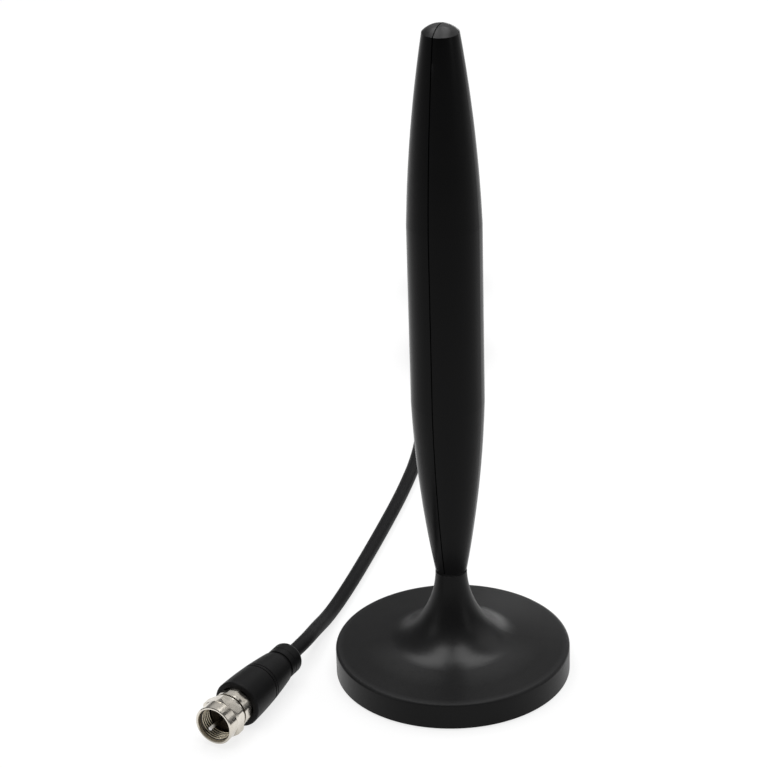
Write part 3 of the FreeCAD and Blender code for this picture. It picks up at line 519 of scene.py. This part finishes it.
def plate_plastic():
    """Coarser black of the base plate."""
    return moulded(
        "plate_plastic", lighter(finish().base, factor=0.8), roughness=0.55, ior=1.4,
        grain=2600.0, grain_depth=0.00002, wave_depth=0.00002,
    )


def boot_rubber():
    """Soft black of the plug's boot and the grommet."""
    return moulded(
        "boot_rubber", finish().rubber, roughness=0.48, ior=1.23,
        grain=2800.0, grain_depth=0.000012, wave_depth=0.00003,
    )


def lead_jacket():
    """Black of the lead's jacket."""
    return moulded(
        "lead_jacket", finish().jacket, roughness=0.5, ior=1.2, level=0.4,
        grain=4200.0, grain_depth=0.000005, wave_depth=0.00002,
    )


def plug_nickel():
    """Nickel, clouded outside and darker near the table from painted shade; brass inside the nut, turning
    dark brown down the bore, partly its own tarnish and partly painted shade.
    """
    material = plain_metal(
        "plug_nickel", finish().nickel, finish().nickel_shade, roughness=0.19, scale=280.0
    )
    tree = material.node_tree
    radius, depth = place_plug_axis(tree, coordinates_of(tree))
    # painted shade: the plating darker towards the table
    stain(tree, ramp(tree, place_of(tree)["Z"], PLUG_LOW, most=PLUG_PAINTED_SHADE), finish().painted_shade)
    inside = ramp(tree, radius, BORE_WALL)
    stain(tree, inside, finish().mouth)
    # darker brown deeper down the bore: partly its own tarnish, partly painted shade
    stain(tree, times(tree, inside, ramp(tree, depth, MOUTH_END)), finish().bore)
    bare = ramp(tree, radius, BORE_WALL[::-1], least=BORE_METAL)
    tree.links.new(bare, shader_of(tree).inputs["Metallic"])
    return material


def thread_nickel():
    """Thread of the nut: bright worn crests between roots darkened with painted shade."""
    material, tree, shader, coordinates = new_material("thread_nickel")
    radius, _ = place_plug_axis(tree, coordinates)
    # painted shade in the roots, worn bright crests on the ridges
    worn = ramp(tree, radius, RIDGE_ROOT_TO_CREST)
    tree.links.new(blend_tones(tree, worn, finish().root, finish().crest), shader.inputs["Base Color"])
    gloss = place_drift(tree, coordinates, scale=900.0, low=0.22, high=0.36)
    tree.links.new(gloss, shader.inputs["Roughness"])
    bare = ramp(tree, radius, RIDGE_ROOT_TO_CREST, most=RIDGE_METAL, least=BORE_METAL)
    tree.links.new(bare, shader.inputs["Metallic"])
    return material


def pin_metal():
    """Tinned pin: pale and only partly mirror-like at its tip, darkened with painted shade inside the
    nut.
    """
    material = plain_metal(
        "pin_metal", finish().pin, finish().pin_dull, roughness=0.34, scale=900.0, metallic=PIN_METAL
    )
    tree = material.node_tree
    _, depth = place_plug_axis(tree, coordinates_of(tree))
    # painted shade: the pin darker behind the nut's mouth
    stain(tree, ramp(tree, depth, PIN_PAINTED_SHADE_DEPTHS), finish().pin_painted_shade)
    return material


def zinc_steel():
    """Zinc on the screws and the ballast."""
    return plain_metal("zinc_steel", finish().zinc, finish().zinc_dull, roughness=0.32, scale=300.0)


def insulator_in_painted_shade():
    """Plastic inside the plug's post, darker than its own pale white: painted shade."""
    return moulded(
        "insulator_in_painted_shade", finish().insulator, roughness=0.5, ior=1.45,
        grain=5000.0, grain_depth=0.000004, wave_depth=0.00001,
    )


def board_laminate():
    """Green laminate of the board inside the wand."""
    return moulded(
        "board_laminate", finish().laminate, roughness=0.35, ior=1.45,
        grain=3000.0, grain_depth=0.000004, wave_depth=0.00001,
    )


def pad_foam():
    """Closed-cell foam: small rounded cells in a soft grey black, their hollows darkened with painted
    shade.
    """
    material, tree, shader, coordinates = new_material("pad_foam")
    cells = add_node(tree, "ShaderNodeTexVoronoi", {"Scale": 1800.0, "Randomness": 0.9})
    tree.links.new(coordinates, cells.inputs["Vector"])
    across = cells.outputs["Distance"]
    # painted shade: the cells' hollows darker than the walls between them
    tones = blend_tones(tree, across, finish().foam, finish().foam_wall)
    tree.links.new(tones, shader.inputs["Base Color"])
    tree.links.new(bump(tree, across, distance=0.00012), shader.inputs["Normal"])
    gloss = place_drift(tree, coordinates, scale=120.0, low=0.8, high=0.92)
    tree.links.new(gloss, shader.inputs["Roughness"])
    return material


def strap_weave():
    """Woven strap: crossed waves of yarn, darker between them with painted shade, with a fine fuzz over
    them.
    """
    material, tree, shader, coordinates = new_material("strap_weave")
    waves = []
    for direction in ("Y", "Z"):
        inputs = {"Scale": 420.0, "Distortion": 0.6}
        wave = add_node(tree, "ShaderNodeTexWave", inputs, bands_direction=direction)
        tree.links.new(coordinates, wave.inputs["Vector"])
        waves.append(wave.outputs["Fac"])
    yarn = times(tree, *waves)
    # painted shade: darker between the yarns, paler on their tops
    tones = blend_tones(tree, yarn, finish().strap, finish().strap_yarn)
    tree.links.new(tones, shader.inputs["Base Color"])
    weave = bump(tree, yarn, distance=0.0002)
    fuzz = bump(tree, place_grain(tree, coordinates, scale=6000.0), distance=0.00005, below=weave)
    tree.links.new(fuzz, shader.inputs["Normal"])
    gloss = place_drift(tree, coordinates, scale=200.0, low=0.75, high=0.9)
    tree.links.new(gloss, shader.inputs["Roughness"])
    return material


def dress(material, *names):
    """Gives CAD nodes a finish through their objects' material slots."""
    for name in names:
        for slot in NODES[name].material_slots:
            slot.material = material


class ANTENNA_OT_dress_wand(bpy.types.Operator):
    """Gives the wand's halves and the board inside them their finishes"""

    bl_idname = "antenna.dress_wand"
    bl_label = "Dress the Wand"

    def execute(self, context):
        dress(wand_plastic(), "wand_left_shell", "wand_right_shell")
        dress(board_laminate(), "dipole_board")
        return {"FINISHED"}


class ANTENNA_OT_dress_base(bpy.types.Operator):
    """Gives the base, its plate, pad, screws and ballast, the grommet, the boot and the lead's inner end
    their finishes"""

    bl_idname = "antenna.dress_base"
    bl_label = "Dress the Base"

    def execute(self, context):
        dress(base_plastic(), "base_cover")
        dress(plate_plastic(), "base_plate")
        dress(pad_foam(), "foot_pad")
        dress(zinc_steel(), "base_screws", "ballast_ring")
        dress(boot_rubber(), "lead_grommet", "plug_boot")
        dress(lead_jacket(), "lead_through_base")
        return {"FINISHED"}


class ANTENNA_OT_dress_plug(bpy.types.Operator):
    """Gives the plug's metal pieces and its insulator their finishes"""

    bl_idname = "antenna.dress_plug"
    bl_label = "Dress the Plug"

    def execute(self, context):
        dress(plug_nickel(), "coupling_nut", "plug_ferrule", "plug_post")
        dress(pin_metal(), "plug_pin")
        dress(insulator_in_painted_shade(), "plug_insulator")
        return {"FINISHED"}


# Surfaces

def ring_faces(rows, columns):
    """Quads between closed rings of points: each joins two neighbours on a ring to those on the next."""
    row, column = np.meshgrid(np.arange(rows - 1), np.arange(columns), indexing="ij")
    ahead = (column + 1) % columns
    corners = (
        row * columns + column,
        (row + 1) * columns + column,
        (row + 1) * columns + ahead,
        row * columns + ahead,
    )
    return np.stack([corner.ravel() for corner in corners], axis=1)


def swept_mesh(name, points):
    """A closed skin over rings of points, with its first and last ring filled."""
    rows, columns, _ = points.shape
    faces = ring_faces(rows, columns).tolist()
    faces.append(list(range(columns)))
    faces.append(list(reversed(range((rows - 1) * columns, rows * columns))))
    mesh = bpy.data.meshes.new(name)
    mesh.from_pydata(points.reshape(-1, 3).tolist(), [], faces)
    mesh.validate()
    piece = bpy.data.objects.new(name, mesh)
    bpy.context.scene.collection.objects.link(piece)
    return piece


def ease(value):
    """Smooth step from 0 to 1: three times the square less twice the cube."""
    value = np.clip(value, 0.0, 1.0)
    return value * value * (3.0 - 2.0 * value)


# Thread in the coupling nut

def thread_rings(sizes):
    """Rings of the thread: a ridge's section carried along a helix inside the nut.

    The helix goes one pitch back from the mouth with each turn. The section is four points, each with a
    rise from root to crest and a shift along the axis in pitches. Both shrink to a small stub at the
    thread's two ends, where the ridge runs out."""
    steps_per_turn = 64
    runout_turn = 1.2
    stub = 0.02
    section = np.array([(0.0, -0.44), (1.0, -0.07), (1.0, 0.07), (0.0, 0.44)])
    mouth, axis, across, upward = plug_frame()
    turns = (sizes.end - sizes.start) / sizes.pitch
    turn = np.linspace(0.0, 2 * math.pi * turns, int(turns * steps_per_turn) + 1)
    back = sizes.start + sizes.pitch * turn / (2 * math.pi)
    to_end = np.minimum(turn, turn[-1] - turn)
    full = ease(to_end / runout_turn) * (1.0 - stub) + stub
    radius = sizes.root - (sizes.root - sizes.crest) * section[None, :, 0] * full[:, None]
    behind = back[:, None] + sizes.pitch * section[None, :, 1] * full[:, None]
    outward = np.cos(turn)[:, None, None] * across + np.sin(turn)[:, None, None] * upward
    return mouth - behind[:, :, None] * axis + radius[:, :, None] * outward


class ANTENNA_OT_cut_thread(bpy.types.Operator):
    """Cuts the thread in the coupling nut"""

    bl_idname = "antenna.cut_thread"
    bl_label = "Cut the Nut's Thread"

    def execute(self, context):
        thread = swept_mesh("nut_thread", thread_rings(context.scene.antenna_thread))
        thread.data.materials.append(thread_nickel())
        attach(thread, "coupling_nut")
        return {"FINISHED"}


# Strap round the hank

def strap_rings():
    """Rings of the strap: a thin rounded section carried round a squared oval, over its own start.

    The path is a superellipse in X and Z. Near the end of the first turn it steps out by its own
    thickness, so that the last stretch lies on the first. The section is a flat rectangle in Y and in
    the way out of the path, with its four corners cut."""
    low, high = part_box("lead_tie")
    thickness = high.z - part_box("lead_hank")[1].z
    squareness = 7.0
    start = math.radians(-25.0)
    lap = math.radians(95.0)
    step = math.radians(28.0)
    rings = 181
    corner_share = 0.3
    turn = np.linspace(start, start + 2 * math.pi + lap, rings)
    half_x = high.x - thickness
    half_z = (high.z - low.z) / 2 - thickness
    cosine, sine = np.cos(turn), np.sin(turn)
    path = np.stack([
        half_x * np.sign(cosine) * np.abs(cosine) ** (2 / squareness),
        half_z * np.sign(sine) * np.abs(sine) ** (2 / squareness),
    ], axis=1)
    along = np.gradient(path, axis=0)
    outward = np.stack([along[:, 1], -along[:, 0]], axis=1)
    outward /= np.linalg.norm(outward, axis=1, keepdims=True)
    lift = thickness * ease((turn - start - 2 * math.pi + step) / step)
    half_y = (high.y - low.y) / 2
    edge = thickness * corner_share
    section = np.array([
        (-half_y + edge, 0.0),
        (half_y - edge, 0.0),
        (half_y, edge),
        (half_y, thickness - edge),
        (half_y - edge, thickness),
        (-half_y + edge, thickness),
        (-half_y, thickness - edge),
        (-half_y, edge),
    ])
    rise = lift[:, None] + section[None, :, 1]
    x = path[:, None, 0] + outward[:, None, 0] * rise
    z = path[:, None, 1] + outward[:, None, 1] * rise + (high.z + low.z) / 2
    y = np.broadcast_to(section[None, :, 0] + (high.y + low.y) / 2, x.shape)
    return np.stack([x, y, z], axis=2)


class ANTENNA_OT_strap_hank(bpy.types.Operator):
    """Wraps the strap round the waist of the hank"""

    bl_idname = "antenna.strap_hank"
    bl_label = "Strap the Hank"

    def execute(self, context):
        strap = swept_mesh("hank_strap", strap_rings())
        strap.data.materials.append(strap_weave())
        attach(strap, "antenna")
        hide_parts("lead_tie")
        return {"FINISHED"}


# Lead

class Hank:
    """Places of the hank's strands and loops, worked out from its solid and its strap.

    At the strap the lowest strand lies on the strap itself, and the strands above it are squeezed
    together so that the topmost keeps its height."""

    LOOP_STEPS = 8
    RUN_STEPS = 8

    def __init__(self):
        sizes = lead_sizes()
        low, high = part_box("lead_hank")
        strap_low, strap_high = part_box("lead_tie")
        radius = sizes.diameter / 2
        self.sizes = sizes
        self.loop = high.x - radius - sizes.play
        self.near = low.y + high.x
        self.overlap = sizes.diameter + sizes.play
        self.far = high.y - high.x - self.overlap
        self.tie = (strap_low.y + strap_high.y) / 2
        self.tie_half = (strap_high.y - strap_low.y) / 2
        self.tie_lift = (strap_high.z - high.z) + radius - sizes.floor
        self.tie_squeeze = (high.z - strap_high.z + high.z - 2 * radius) / (sizes.turns - 1) - sizes.pitch

    def height(self, level):
        """Centre of a strand above the table."""
        return self.sizes.floor + self.sizes.pitch * level

    def run(self, side, level, outward):
        """A strand between the loops: its half width eases from the waist to the loops' radius."""
        y = np.linspace(self.near, self.far, self.RUN_STEPS + 1)
        if not outward:
            y = y[::-1]
        reach = np.where(y < self.tie, self.tie - self.near, self.far - self.tie) - self.tie_half
        open_share = ease((np.abs(y - self.tie) - self.tie_half) / reach)
        x = side * (self.sizes.waist + (self.loop - self.sizes.waist) * open_share)
        lift = (self.tie_lift + self.tie_squeeze * level) * (1.0 - open_share)
        return np.stack([x, y, self.height(level) + lift], axis=1)

    def bend(self, centre, toward, first, last, stretch=0.0, hold=0.0):
        """A half turn round a centre on the middle line, from one level to another.

        The points lie on a half ellipse. Its radius is larger than the loop's by the amount that the
        curve cuts inside its control points: beside each it lies at three quarters of that point and
        an eighth of each neighbour. The height changes evenly, or with a hold it eases between the
        levels within the part of the turn that the hold leaves at both ends."""
        turn = np.linspace(0.0, math.pi, self.LOOP_STEPS + 1)[1:-1]
        fill = 1.0 / (0.75 + 0.25 * math.cos(math.pi / self.LOOP_STEPS))
        part = turn / math.pi
        level = first + (last - first) * (ease((part - hold) / (1.0 - 2.0 * hold)) if hold else part)
        x = toward * self.loop * fill * np.cos(turn)
        y = centre + toward * (self.loop + stretch) * fill * np.sin(turn)
        return np.stack([x, y, self.height(level)], axis=1)

    def points(self):
        """Right strands go out and left strands come back, each turn one level above the last.

        The last far loop passes outside the others, down to the table, and leads to the plug."""
        top = self.sizes.turns - 1
        pieces = []
        for level in range(top):
            pieces.append(self.run(1, level, True))
            pieces.append(self.bend(self.far, 1, level, level + 1))
            pieces.append(self.run(-1, level + 1, False))
            pieces.append(self.bend(self.near, -1, level + 1, level + 1))
        pieces.append(self.run(1, top, True))
        pieces.append(self.bend(self.far, 1, top, 0, stretch=self.overlap, hold=0.25))
        pieces.append(self.run(-1, 0, False))
        return np.concatenate(pieces)


def lead_curve(points):
    """One smooth line through the route's control points, as round as the jacket."""
    curve = bpy.data.curves.new("lead", "CURVE")
    curve.dimensions = "3D"
    curve.bevel_depth = lead_sizes().diameter / 2
    curve.bevel_resolution = 5
    curve.resolution_u = 6
    curve.use_fill_caps = True
    spline = curve.splines.new("NURBS")
    spline.points.add(len(points) - 1)
    spline.points.foreach_set("co", np.column_stack([points, np.ones(len(points))]).ravel())
    spline.order_u = 3
    spline.use_endpoint_u = True
    piece = bpy.data.objects.new("lead", curve)
    bpy.context.scene.collection.objects.link(piece)
    return piece


class ANTENNA_OT_lay_lead(bpy.types.Operator):
    """Lays the lead from the base through its tied hank to the plug"""

    bl_idname = "antenna.lay_lead"
    bl_label = "Lay the Lead"

    def execute(self, context):
        route = np.concatenate([np.array(BASE_RUN), Hank().points(), np.array(PLUG_RUN)])
        lead = lead_curve(route)
        lead.data.materials.append(NODES["lead_through_base"].material_slots[0].material)
        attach(lead, "antenna")
        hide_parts(*LEAD_NODES)
        on_lead = [NODES["lead_grommet"], bpy.data.objects["hank_strap"], bpy.data.objects["nut_thread"]]
        on_lead += [NODES[name] for name in PLUG_NODES]
        return {"FINISHED"}


# Stage

def floor_material(stage):
    """Pale table that keeps its shadows, and shows a white of its own to the eye, in gloss and
    through glass: the glow's strength where a ray is of one of these three kinds, and 0 elsewhere."""
    material = bpy.data.materials.new("table")
    material.use_nodes = True
    tree = material.node_tree
    tree.nodes.clear()
    path = tree.nodes.new("ShaderNodeLightPath")
    seen = path.outputs["Is Camera Ray"]
    for ray in ("Is Glossy Ray", "Is Transmission Ray"):
        either = add_node(tree, "ShaderNodeMath", operation="MAXIMUM")
        tree.links.new(seen, either.inputs[0])
        tree.links.new(path.outputs[ray], either.inputs[1])
        seen = either.outputs["Value"]
    glow = add_node(tree, "ShaderNodeMath", {1: stage.floor_glow}, operation="MULTIPLY")
    tree.links.new(seen, glow.inputs[0])
    white = tree.nodes.new("ShaderNodeEmission")
    tree.links.new(glow.outputs["Value"], white.inputs["Strength"])
    paper = add_node(tree, "ShaderNodeBsdfDiffuse", {"Color": (*stage.floor, 1.0)})
    both = tree.nodes.new("ShaderNodeAddShader")
    out = tree.nodes.new("ShaderNodeOutputMaterial")
    tree.links.new(paper.outputs["BSDF"], both.inputs[0])
    tree.links.new(white.outputs["Emission"], both.inputs[1])
    tree.links.new(both.outputs["Shader"], out.inputs["Surface"])
    return material


def lay_floor(stage):
    """A wide flat table: one square, whose corners lie as far from the middle along X as along Y."""
    square = np.array([
        (-1.0, -1.0, 0.0),
        (1.0, -1.0, 0.0),
        (1.0, 1.0, 0.0),
        (-1.0, 1.0, 0.0),
    ])
    mesh = bpy.data.meshes.new("table")
    mesh.from_pydata((TABLE_REACH * square).tolist(), [], [(0, 1, 2, 3)])
    table = bpy.data.objects.new("table", mesh)
    bpy.context.scene.collection.objects.link(table)
    mesh.materials.append(floor_material(stage))


def light_room(stage):
    """An even light from all sides."""
    world = bpy.data.worlds.new("room")
    world.use_nodes = True
    world.node_tree.nodes["Background"].inputs["Color"].default_value = (*stage.room, 1.0)
    bpy.context.scene.world = world


def softbox(name, place, target, width, height, power):
    """A lamp with a flat face, turned to a target."""
    lamp = bpy.data.lights.new(name, "AREA")
    lamp.shape = "RECTANGLE"
    lamp.size = width
    lamp.size_y = height
    lamp.energy = power
    box = bpy.data.objects.new(name, lamp)
    bpy.context.scene.collection.objects.link(box)
    box.location = place
    box.rotation_euler = (Vector(target) - Vector(place)).to_track_quat("-Z", "Y").to_euler()


def place_camera(stage):
    """The camera from its place, its yaw, pitch and roll, looking along +Y before it turns."""
    ahead = Vector((
        math.sin(stage.yaw) * math.cos(stage.pitch),
        math.cos(stage.yaw) * math.cos(stage.pitch),
        -math.sin(stage.pitch),
    ))
    level = Vector((math.cos(stage.yaw), -math.sin(stage.yaw), 0.0))
    upright = level.cross(ahead)
    right = level * math.cos(stage.roll) + upright * math.sin(stage.roll)
    up = upright * math.cos(stage.roll) - level * math.sin(stage.roll)
    lens = bpy.data.cameras.new("camera")
    lens.sensor_width = SENSOR_WIDTH
    lens.lens = stage.lens
    camera = bpy.data.objects.new("camera", lens)
    bpy.context.scene.collection.objects.link(camera)
    turn = Matrix((right, up, -ahead)).transposed().to_4x4()
    camera.matrix_world = Matrix.Translation(Vector(stage.place)) @ turn
    bpy.context.scene.camera = camera


class ANTENNA_OT_set_stage(bpy.types.Operator):
    """Lays the table, lights the room and places the camera"""

    bl_idname = "antenna.set_stage"
    bl_label = "Set the Stage"

    def execute(self, context):
        stage = context.scene.antenna_stage
        lay_floor(stage)
        light_room(stage)
        for lamp in LAMPS:
            softbox(*lamp)
        place_camera(stage)
        context.scene.view_settings.view_transform = "Standard"
        return {"FINISHED"}


class ANTENNA_PT_dresser(bpy.types.Panel):
    """Settings of the antenna, and the steps that dress it, in order"""

    bl_idname = "ANTENNA_PT_dresser"
    bl_label = "Antenna"
    bl_space_type = "VIEW_3D"
    bl_region_type = "UI"
    bl_category = "Antenna"

    def draw(self, context):
        for settings in SETTINGS:
            box = self.layout.box()
            group = getattr(context.scene, settings)
            for key in group.bl_rna.properties.keys():
                if key not in ("rna_type", "name"):
                    box.prop(group, key)
        for step in STEPS:
            self.layout.operator(step.bl_idname)


SETTINGS = {
    "antenna_finish": AntennaFinish,
    "antenna_lead": AntennaLead,
    "antenna_thread": AntennaThread,
    "antenna_stage": AntennaStage,
}
STEPS = (
    ANTENNA_OT_dress_wand,
    ANTENNA_OT_dress_base,
    ANTENNA_OT_dress_plug,
    ANTENNA_OT_cut_thread,
    ANTENNA_OT_strap_hank,
    ANTENNA_OT_lay_lead,
    ANTENNA_OT_set_stage,
)


def register():
    for item in (*SETTINGS.values(), *STEPS, ANTENNA_PT_dresser):
        bpy.utils.register_class(item)
    for name, group in SETTINGS.items():
        setattr(bpy.types.Scene, name, PointerProperty(type=group))


def unregister():
    for name in SETTINGS:
        delattr(bpy.types.Scene, name)
    for item in (ANTENNA_PT_dresser, *STEPS, *SETTINGS.values()):
        bpy.utils.unregister_class(item)


def main():
    register()
    bpy.ops.antenna.dress_wand()
    bpy.ops.antenna.dress_base()
    bpy.ops.antenna.dress_plug()
    bpy.ops.antenna.cut_thread()
    bpy.ops.antenna.strap_hank()
    bpy.ops.antenna.lay_lead()
    bpy.ops.antenna.set_stage()


if __name__ == "__main__":
    main()
